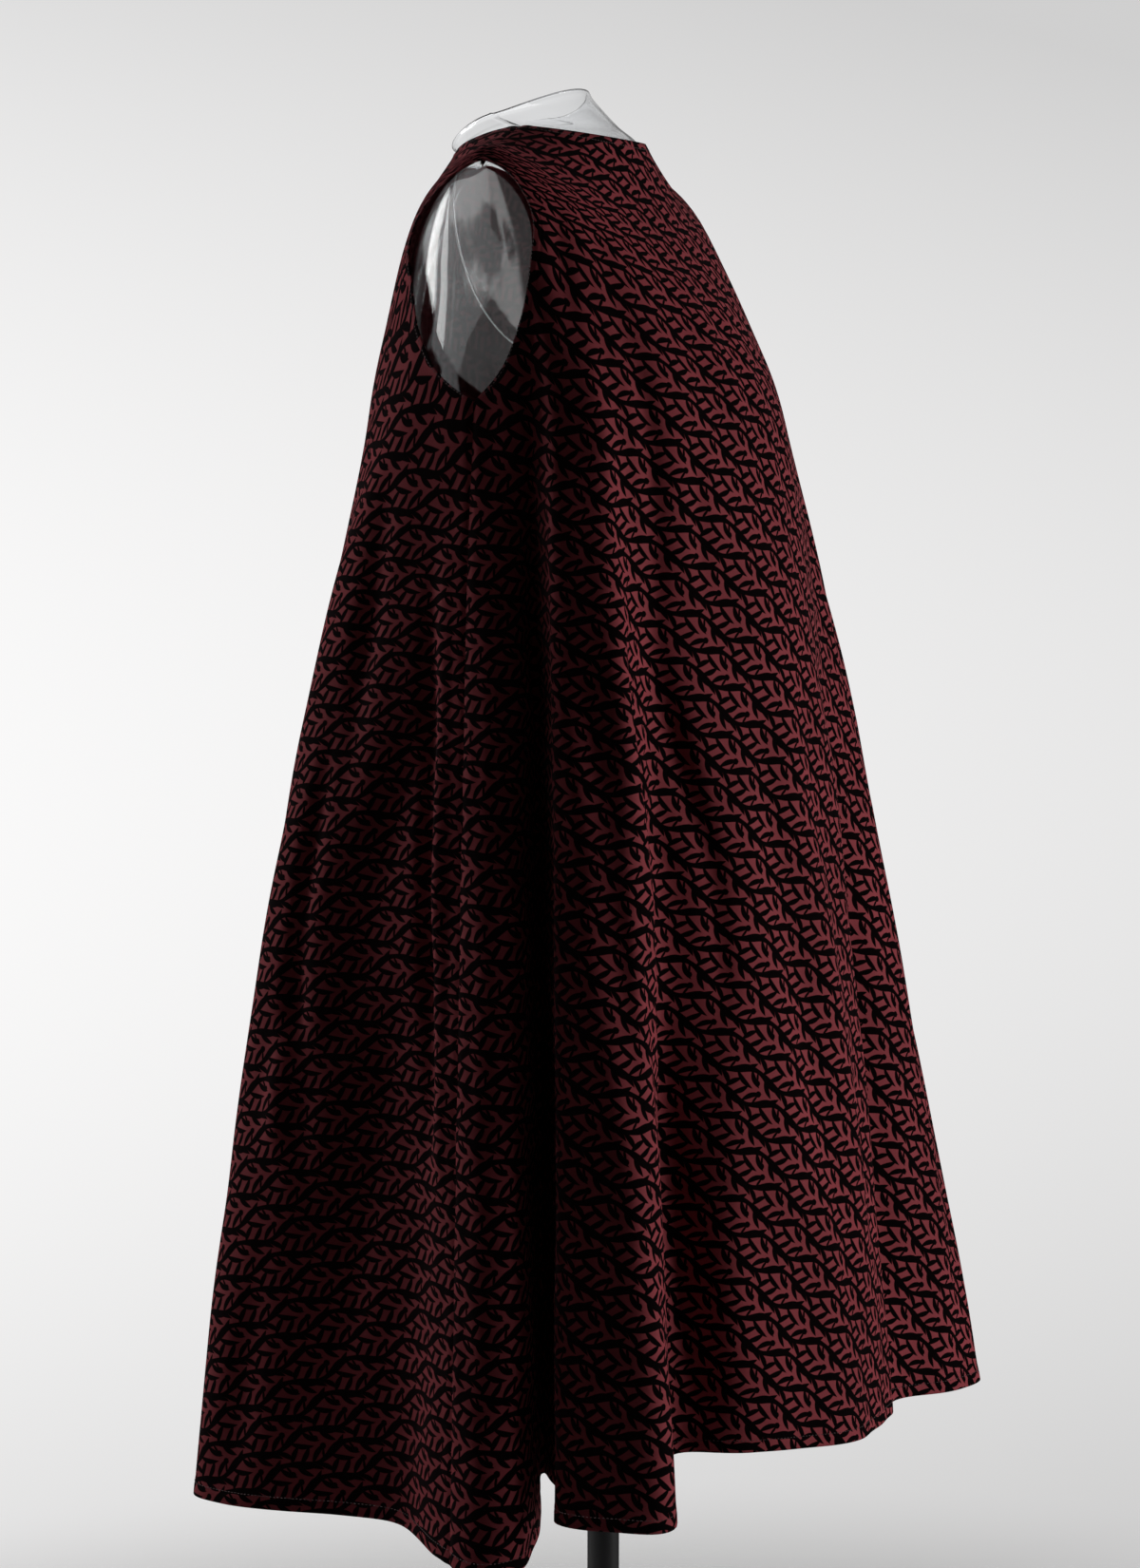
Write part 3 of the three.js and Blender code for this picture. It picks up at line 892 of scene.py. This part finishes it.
class DressProperties(bpy.types.PropertyGroup):
    """All settings of the dress on its form."""

    dress: bpy.props.PointerProperty(type=DressSettings)
    form: bpy.props.PointerProperty(type=FormSettings)
    stand: bpy.props.PointerProperty(type=StandSettings)
    stage: bpy.props.PointerProperty(type=StageSettings)


class MESH_OT_dress_panels(bpy.types.Operator):
    """Lay the front and the back panel over the form as thin flocked cloth"""

    bl_idname = "mesh.dress_panels"
    bl_label = "Dress Panels"

    def execute(self, context):
        values = settings().dress
        groups = {"flock": flock_group(), "weave": weave_group()}
        for panel in PANELS:
            bm = bmesh.new()
            lay_grid(bm, *panel_surface(panel))
            face = cloth_material(panel.name + "_flocked_cloth", panel.slant, values, 1.0, groups)
            reverse = cloth_material(panel.name + "_cloth_reverse", panel.slant, values,
                                     REVERSE_STRENGTH, groups)
            piece = new_object(panel.name, bm, [face, reverse], [panel.node])
            thick = piece.modifiers.new("cloth thickness", "SOLIDIFY")
            thick.thickness = values.cloth_thickness
            thick.offset = -1.0
            thick.material_offset = 1
        return {"FINISHED"}


STITCH_LENGTH = 1.9
STITCH_RADIUS = 0.28
STITCH_CORNERS = 6
# A stitch's rings: their parts of its length and radius, and how far they stand off the cloth
STITCH_RINGS = np.array([
    (-0.5, 0.35, -0.5),
    (-0.3, 1.0, 0.25),
    (0.3, 1.0, 0.25),
    (0.5, 0.35, -0.5),
])


def stitch_mesh():
    """One stitch at the origin: a small rounded bar along X that bulges towards Z."""
    turns = np.linspace(0, math.tau, STITCH_CORNERS + 1)[None, :]
    part, scale, rise = STITCH_RINGS.T[:, :, None]
    points = np.stack([
        part * STITCH_LENGTH + 0 * turns,
        -np.sin(turns) * scale * STITCH_RADIUS,
        (np.cos(turns) * scale + rise) * STITCH_RADIUS,
    ], -1)
    bm = bmesh.new()
    lay_grid(bm, points, closed=True)
    bmesh.ops.holes_fill(bm, edges=bm.edges, sides=STITCH_CORNERS)
    bmesh.ops.recalc_face_normals(bm, faces=bm.faces)
    mesh = bpy.data.meshes.new("stitch")
    bm.to_mesh(mesh)
    bm.free()
    return mesh


def stitched_line(bm, stitch, line, normals, pitch):
    """Stitches at an even pitch along a line of points in metres."""
    steps = np.linalg.norm(np.diff(line, axis=0), axis=1)
    run = np.concatenate([[0], np.cumsum(steps)])

    def along(values, at):
        return Vector([np.interp(at, run, values[:, k]) for k in range(3)])

    reach = STITCH_LENGTH * MM / 2
    for at in np.arange(pitch / 2, run[-1], pitch):
        way = (along(line, at + reach) - along(line, at - reach)).normalized()
        out = along(normals, at).normalized()
        side = out.cross(way).normalized()
        turned = Matrix((way, side, out)).transposed().to_4x4()
        sewn = stitch.copy()
        sewn.transform(Matrix.Translation(along(line, at)) @ turned)
        bm.from_mesh(sewn)
        bpy.data.meshes.remove(sewn)


class MESH_OT_dress_sewing(bpy.types.Operator):
    """Sew the hem, neckline and armhole edges with small separate stitches"""

    bl_idname = "mesh.dress_sewing"
    bl_label = "Dress Sewing"

    def execute(self, context):
        values = settings().dress
        stitch = stitch_mesh()
        bm = bmesh.new()
        for panel in PANELS:
            points, _ = panel_surface(panel)
            normals = surface_normals(points)
            from_neck = column_length(points)
            to_hem = (from_neck[-1:] - from_neck).mean(1)
            row = int(np.argmin(np.abs(to_hem - HEM_STITCH)))
            under_neck = 0.6 * points[1] + 0.4 * points[2]
            lines = [(points[row], normals[row]), (under_neck, normals[1])]
            in_armhole = panel_rows(panel.armhole_column)[1] > 0
            for column in (EDGE_STITCH_COLUMN, -1 - EDGE_STITCH_COLUMN):
                lines.append((points[in_armhole, column], normals[in_armhole, column]))
            for line, out in lines:
                stitched_line(bm, stitch, line * MM, out, values.stitch_pitch)
        bpy.data.meshes.remove(stitch)
        new_object("edge_stitches", bm, [thread_material(tuple(values.thread))])
        return {"FINISHED"}


# The clear form

FORM_COLUMNS = 144
FORM_ROWS = 120
FORM_FLOOR = HEM_HEIGHT + FORM_RINGS[-1, 4]
PLATE_CORNERS = 96
PLATE_THICKNESS = 6.0
PLATE_EDGE = 1.2
TOUCH_GAP = 0.3
# The neck's lip and the moulded seams at front and back: height and width
LIP_RISE = 1.6
LIP_WIDTH = 0.16
SEAM_LINE_RISE = 0.5
SEAM_LINE_WIDTH = 0.02

# The closed arm stumps: middle, half length and half width of their oval, its lean, how deep the
# oval is pressed in, and the raised seam round it
STUMP_MIDDLE = (-6.6, 929.7)
STUMP_LENGTH = 85.0
STUMP_WIDTH = 42.0
STUMP_LEAN = math.radians(18.4)
STUMP_DEPTH = 2.2
STUMP_TILT = 0.05
STUMP_BORDER = 1.04
STUMP_SOFTNESS = 0.2
STUMP_SIDE = 90.0
OUT_OF_REACH = 9.0
SEAM_STEPS = 120
SEAM_CORNERS = 8
SEAM_RADIUS = 0.9


def stump_reach(points):
    """How far points lie from the middle of a stump's oval, with 1 on its border."""
    along = points[..., 1] - STUMP_MIDDLE[0]
    up = points[..., 2] - STUMP_MIDDLE[1]
    length = (up * math.cos(STUMP_LEAN) - along * math.sin(STUMP_LEAN)) / STUMP_LENGTH
    width = (along * math.cos(STUMP_LEAN) + up * math.sin(STUMP_LEAN)) / STUMP_WIDTH
    reach = np.hypot(length, width)
    return np.where(np.abs(points[..., 0]) > STUMP_SIDE, reach, OUT_OF_REACH)


def form_surface():
    """Points of the form's outside in millimetres."""
    angles = np.linspace(0, 360, FORM_COLUMNS + 1)
    places = np.linspace(0, len(FORM_RINGS) - 1, FORM_ROWS + 1)
    angle, place = np.meshgrid(angles, places)
    points = ring_point(FORM_RINGS, angle, place)
    off_seam = np.abs(np.sin(np.radians(angle)))
    height = LIP_RISE * bump(place, LIP_WIDTH) + SEAM_LINE_RISE * bump(off_seam, SEAM_LINE_WIDTH)
    pressed = np.clip((STUMP_BORDER - stump_reach(points)) / STUMP_SOFTNESS, 0, 1)
    tilt = STUMP_TILT * (points[..., 2] - STUMP_MIDDLE[1])
    height -= pressed * pressed * (3 - 2 * pressed) * (STUMP_DEPTH + tilt)
    points = points + surface_normals(points) * height[..., None]
    points[..., 2] += HEM_HEIGHT
    points[:, -1] = points[:, 0]
    return points


def stump_line(surface, side):
    """The border of one stump's oval, laid on the form's outside."""
    turns = np.linspace(0, math.tau, SEAM_STEPS + 1)
    length = STUMP_LENGTH * np.cos(turns)
    width = STUMP_WIDTH * np.sin(turns)
    along = STUMP_MIDDLE[0] - length * math.sin(STUMP_LEAN) + width * math.cos(STUMP_LEAN)
    up = STUMP_MIDDLE[1] + length * math.cos(STUMP_LEAN) + width * math.sin(STUMP_LEAN)
    up += HEM_HEIGHT
    near = surface[surface[..., 0] * side > STUMP_SIDE]
    away = np.hypot(near[None, :, 1] - along[:, None], near[None, :, 2] - up[:, None])
    weight = 1 / (away + 2.0) ** 4
    across = (weight * near[None, :, 0]).sum(1) / weight.sum(1)
    return np.stack([across, along, up], -1)


def stump_seams(surface):
    """The two raised seams round the stumps, as thin rings of tube."""
    bm = bmesh.new()
    turns = np.linspace(0, math.tau, SEAM_CORNERS + 1)[None, :, None]
    for side in (-1, 1):
        line = stump_line(surface, side)
        ahead = np.roll(line[:-1], -1, 0) - np.roll(line[:-1], 1, 0)
        ahead = np.concatenate([ahead, ahead[:1]])
        ahead /= np.linalg.norm(ahead, axis=1, keepdims=True)
        first = np.cross(ahead, (side, 0, 0))
        second = np.cross(first, ahead)
        off = first[:, None] * np.cos(turns) + second[:, None] * np.sin(turns)
        lay_grid(bm, line[:, None] + off * SEAM_RADIUS, closed=True)
    bmesh.ops.recalc_face_normals(bm, faces=bm.faces)
    return bm


def form_plate():
    """The plate that closes the form from below, cut to its lowest ring."""
    corners = np.linspace(0, 360, PLATE_CORNERS, endpoint=False)
    outline = ring_point(FORM_RINGS, corners, np.full(PLATE_CORNERS, len(FORM_RINGS) - 1.0))
    bm = bmesh.new()
    made = bmesh.ops.create_circle(bm, segments=PLATE_CORNERS, radius=1.0, cap_ends=True)
    for vertex in made["verts"]:
        turn = math.atan2(vertex.co.y, vertex.co.x) / math.tau
        corner = outline[round(turn * PLATE_CORNERS) % PLATE_CORNERS]
        vertex.co = Vector((corner[0], corner[1], FORM_FLOOR - TOUCH_GAP)) * MM
    raised = bmesh.ops.extrude_face_region(bm, geom=bm.faces[:])
    lowered = [v for v in raised["geom"] if isinstance(v, bmesh.types.BMVert)]
    bmesh.ops.translate(bm, verts=lowered, vec=(0, 0, -PLATE_THICKNESS * MM))
    bmesh.ops.recalc_face_normals(bm, faces=bm.faces)
    return bm


class MESH_OT_clear_form(bpy.types.Operator):
    """Mould the clear torso, open at the neck, and close it from below with its plate"""

    bl_idname = "mesh.clear_form"
    bl_label = "Clear Form"

    def execute(self, context):
        values = settings().form
        plastic = plastic_material(tuple(values.tint))
        surface = form_surface()
        bm = bmesh.new()
        lay_grid(bm, surface, closed=True)
        piece = new_object("clear_form", bm, [plastic], ["form_torso"])
        wall = piece.modifiers.new("form wall", "SOLIDIFY")
        wall.thickness = values.wall
        wall.offset = -1.0
        new_object("form_seams", stump_seams(surface), [plastic])
        plate = new_object("clear_form_plate", form_plate(), [plastic],
                           ["form_plate"])
        soften(plate, PLATE_EDGE)
        return {"FINISHED"}


SOFT_ANGLE = math.radians(40)


def soften(piece, width):
    """Round the sharp edges of a hard piece."""
    rounded = piece.modifiers.new("softened edges", "BEVEL")
    rounded.width = width * MM
    rounded.segments = 3
    rounded.limit_method = "ANGLE"
    rounded.angle_limit = SOFT_ANGLE
    rounded.harden_normals = True


TURNING_STEPS = 96
SOCKET_LENGTH = 70.0
SOCKET_RADIUS = 23.0
SOCKET_MOUTH_RADIUS = 19.0
SOCKET_TAPER = 5.0
SOCKET_RIM = 16.0
SOCKET_ROOF = 10.0
SOCKET_EDGE = 1.0
COLLAR_RADIUS = 22.0
COLLAR_HEIGHT = 45.0
COLLAR_CHAMFER = (2.0, 4.0)
COLLAR_FLOOR = 6.0
BASE_RADIUS = 170.0
BASE_THICKNESS = 8.0
BASE_LOWER_CHAMFER = 1.5
BASE_UPPER_CHAMFER = 3.0
STAND_EDGE = 0.8


def turned_piece(name, profile, material, replaced, edge):
    """A piece turned from pairs of radius and height that start and end on the axis."""
    bm = bmesh.new()
    verts = [bm.verts.new((radius * MM, 0, height * MM)) for radius, height in profile]
    edges = [bm.edges.new(pair) for pair in zip(verts, verts[1:])]
    bmesh.ops.spin(bm, geom=verts + edges, cent=(0, 0, 0), axis=(0, 0, 1), dvec=(0, 0, 0),
                   angle=math.tau, steps=TURNING_STEPS, use_merge=True, use_duplicate=False)
    bmesh.ops.remove_doubles(bm, verts=bm.verts, dist=1e-6)
    bmesh.ops.recalc_face_normals(bm, faces=bm.faces)
    soften(new_object(name, bm, [material], [replaced]), edge)


class MESH_OT_black_stand(bpy.types.Operator):
    """Turn the pole, its two sockets and the round base"""

    bl_idname = "mesh.black_stand"
    bl_label = "Black Stand"

    def execute(self, context):
        metal = metal_material(tuple(settings().stand.paint))
        bore = POLE_RADIUS + TOUCH_GAP

        top = FORM_FLOOR - PLATE_THICKNESS - 2 * TOUCH_GAP
        mouth = top - SOCKET_LENGTH
        roof = top - SOCKET_ROOF
        turned_piece("form_socket", [
            (0, roof), (bore, roof), (bore, mouth), (SOCKET_MOUTH_RADIUS, mouth),
            (SOCKET_RADIUS, mouth + SOCKET_TAPER), (SOCKET_RADIUS, top - SOCKET_RIM),
            (SOCKET_RADIUS, top), (0, top),
        ], metal, "pole_socket", SOCKET_EDGE)

        seat = BASE_THICKNESS + COLLAR_FLOOR
        foot = seat + TOUCH_GAP
        head = roof - TOUCH_GAP
        turned_piece("stand_pole", [
            (0, foot), (POLE_RADIUS, foot), (POLE_RADIUS, head), (0, head),
        ], metal, "pole", STAND_EDGE)

        low = BASE_THICKNESS + TOUCH_GAP
        rim = low + COLLAR_HEIGHT
        turned_piece("foot_collar", [
            (0, low), (COLLAR_RADIUS, low), (COLLAR_RADIUS, rim - COLLAR_CHAMFER[1]),
            (COLLAR_RADIUS - COLLAR_CHAMFER[0], rim), (bore, rim), (bore, seat), (0, seat),
        ], metal, "foot_socket", STAND_EDGE)

        turned_piece("base_disc", [
            (0, 0), (BASE_RADIUS - BASE_LOWER_CHAMFER, 0), (BASE_RADIUS, BASE_LOWER_CHAMFER),
            (BASE_RADIUS, BASE_THICKNESS - BASE_UPPER_CHAMFER),
            (BASE_RADIUS - BASE_UPPER_CHAMFER, BASE_THICKNESS), (0, BASE_THICKNESS),
        ], metal, "round_base", STAND_EDGE)
        return {"FINISHED"}


# The studio

CAMERA_AZIMUTH = 24.0
CAMERA_PLACE = (2.7513, 1.1963, 1.1880)
CAMERA_DIP = 4.555
CAMERA_LENS = 89.02
FRAME_HEIGHT = 36.0
FLOOR_RADIUS = 1.6
FLOOR_FADE = (0.5, 0.97 * FLOOR_RADIUS)
FLOOR_DROP = 0.0005
# Soft lights: azimuth, distance, height, width, height of the lit face, colour
LIGHTS = {
    "key_light": (107, 2.6, 1.15, 1.1, 1.7, (1.0, 0.985, 0.98)),
    "rim_light": (-82, 2.4, 1.3, 0.7, 2.0, (1.0, 0.99, 0.98)),
}
LIGHT_AIM = 0.95


def area_light(name, power):
    """A soft light that looks at the middle of the dress."""
    azimuth, distance, height, width, tall, color = LIGHTS[name]
    light = bpy.data.lights.new(name, "AREA")
    light.shape = "RECTANGLE"
    light.size = width
    light.size_y = tall
    light.energy = power
    light.color = color
    holder = bpy.data.objects.new(name, light)
    turn = math.radians(azimuth)
    place = Vector((distance * math.cos(turn), distance * math.sin(turn), height))
    holder.location = place
    holder.rotation_euler = (Vector((0, 0, LIGHT_AIM)) - place).to_track_quat("-Z", "Y").to_euler()
    bpy.context.scene.collection.objects.link(holder)


def place_camera(scene):
    """The camera at the photograph's viewing angle."""
    camera = bpy.data.cameras.new("camera")
    camera.sensor_fit = "VERTICAL"
    camera.sensor_height = FRAME_HEIGHT
    camera.lens = CAMERA_LENS
    camera.clip_end = 50.0
    holder = bpy.data.objects.new("camera", camera)
    holder.location = CAMERA_PLACE
    turn = math.radians(CAMERA_AZIMUTH)
    dip = math.radians(CAMERA_DIP)
    look = Vector((-math.cos(turn) * math.cos(dip), -math.sin(turn) * math.cos(dip), -math.sin(dip)))
    holder.rotation_euler = look.to_track_quat("-Z", "Y").to_euler()
    scene.collection.objects.link(holder)
    scene.camera = holder


def lay_floor(scene, color):
    """A plain round floor that fades into the surround."""
    bm = bmesh.new()
    bmesh.ops.create_circle(bm, segments=96, radius=FLOOR_RADIUS, cap_ends=True)
    bmesh.ops.translate(bm, verts=bm.verts, vec=(0, 0, -FLOOR_DROP))
    mesh = bpy.data.meshes.new("floor")
    bm.to_mesh(mesh)
    bm.free()
    material, shader, n = new_material("pale_floor")
    away = n.vector("LENGTH", n.node("TexCoord").outputs["Object"])
    n.put(shader.inputs["Alpha"], n.ramp(away, *FLOOR_FADE, 1.0, 0.0))
    shader.inputs["Base Color"].default_value = color
    shader.inputs["Roughness"].default_value = 0.8
    mesh.materials.append(material)
    floor = bpy.data.objects.new("floor", mesh)
    scene.collection.objects.link(floor)


class SCENE_OT_dress_stage(bpy.types.Operator):
    """Set the pale floor and surroundings, two soft lights and the camera"""

    bl_idname = "scene.dress_stage"
    bl_label = "Dress Stage"

    def execute(self, context):
        values = settings().stage
        scene = context.scene
        place_camera(scene)
        lay_floor(scene, tuple(values.floor))
        area_light("key_light", values.key_power)
        area_light("rim_light", values.rim_power)
        studio_world(scene)
        scene.view_settings.view_transform = "Standard"
        return {"FINISHED"}


# The surround: its tone, which falls towards one side and above and below the level of the dress
TONE = 0.875
TONE_LEAST = 0.63
TONE_MOST = 0.965
DARK_SIDE = math.radians(114)
DARK_SIDE_FALL = 0.5
TONE_LEVEL = -0.08
HEIGHT_FALL = 5.2
# The part of the surround that lights the dress, and the bright places that only gloss mirrors
SURROUND_LIGHT = 0.015
CEILING_LIGHT = 3.6
CEILING_TURN = -0.45
WINDOW_LIGHT = 7.0
WINDOW_TURN = -1.12
WINDOW_LEVEL = 0.1
LOW_LIGHT = 0.3


def studio_world(scene):
    """A pale surround that is bright behind the dress and gives it little light."""
    world = bpy.data.worlds.new("pale_studio")
    world.use_nodes = True
    scene.world = world
    n = Nodes(world.node_tree)
    way = n.node("TexCoord").outputs["Generated"]
    split = n.node("SeparateXYZ", {0: way})
    level = split.outputs[2]
    rise = n.math("SUBTRACT", level, TONE_LEVEL)
    aside = n.vector("DOT_PRODUCT", way, (math.cos(DARK_SIDE), math.sin(DARK_SIDE), 0.0))
    tone = n.math("MULTIPLY_ADD", aside, -DARK_SIDE_FALL, TONE)
    tone = n.math("MULTIPLY_ADD", n.math("MULTIPLY", rise, rise), -HEIGHT_FALL, tone)
    tone = n.math("MAXIMUM", n.math("MINIMUM", tone, TONE_MOST), TONE_LEAST)
    path = n.node("LightPath").outputs
    seen = n.math("MAXIMUM", path["Is Camera Ray"], path["Is Transmission Ray"])
    seen = n.math("MULTIPLY_ADD", seen, 1 - SURROUND_LIGHT, SURROUND_LIGHT)
    light = n.math("MULTIPLY", tone, seen)

    def near(value, middle, outside, inside):
        """1 close to the middle value and 0 away from it."""
        return n.ramp(n.math("ABSOLUTE", n.math("SUBTRACT", value, middle)), outside, inside)

    turn = n.math("ARCTAN2", split.outputs[1], split.outputs[0])
    blur = n.noise(way, 3.5, 2.0)
    ceiling = n.ramp(n.math("MULTIPLY_ADD", blur, 0.5, level), 0.36, 0.42)
    ceiling = n.math("MULTIPLY", ceiling, near(turn, CEILING_TURN, 0.62, 0.5))
    window = n.math("MULTIPLY", near(turn, WINDOW_TURN, 0.1, 0.07),
                    near(level, WINDOW_LEVEL, 0.2, 0.17))
    low = n.ramp(n.math("MULTIPLY_ADD", blur, 0.8, level), 0.1, 0.4)
    mirrored = n.math("MULTIPLY", low, LOW_LIGHT)
    mirrored = n.math("MULTIPLY_ADD", ceiling, CEILING_LIGHT, mirrored)
    mirrored = n.math("MULTIPLY_ADD", window, WINDOW_LIGHT, mirrored)
    bounced = n.math("SUBTRACT", path["Is Glossy Ray"], path["Is Transmission Ray"], clamp=True)
    back = world.node_tree.nodes["Background"]
    back.inputs["Color"].default_value = (1.0, 0.995, 0.995, 1)
    n.put(back.inputs["Strength"], n.math("MULTIPLY_ADD", bounced, mirrored, light))


class VIEW3D_PT_flared_dress(bpy.types.Panel):
    """Settings and steps of the dress on its form"""

    bl_label = "Flared Dress"
    bl_space_type = "VIEW_3D"
    bl_region_type = "UI"
    bl_category = "Dress"

    def draw(self, context):
        values = context.scene.flared_dress
        for part in (values.dress, values.form, values.stand, values.stage):
            box = self.layout.box()
            for name in part.__annotations__:
                box.prop(part, name)
        for step in STEPS:
            self.layout.operator(step)


STEPS = ("scene.dress_stage", "mesh.clear_form", "mesh.dress_panels", "mesh.dress_sewing",
         "mesh.black_stand")
CLASSES = (DressSettings, FormSettings, StandSettings, StageSettings, DressProperties,
           MESH_OT_dress_panels, MESH_OT_dress_sewing, MESH_OT_clear_form, MESH_OT_black_stand,
           SCENE_OT_dress_stage, VIEW3D_PT_flared_dress)


def register():
    """Add the classes and the scene's settings."""
    for item in CLASSES:
        bpy.utils.register_class(item)
    bpy.types.Scene.flared_dress = bpy.props.PointerProperty(type=DressProperties)


def unregister():
    """Take them away again."""
    del bpy.types.Scene.flared_dress
    for item in reversed(CLASSES):
        bpy.utils.unregister_class(item)


def main():
    """Build all pieces and the stage."""
    register()
    for step in STEPS:
        group, name = step.split(".")
        getattr(getattr(bpy.ops, group), name)()
    bpy.context.view_layer.update()


if __name__ == "__main__":
    main()
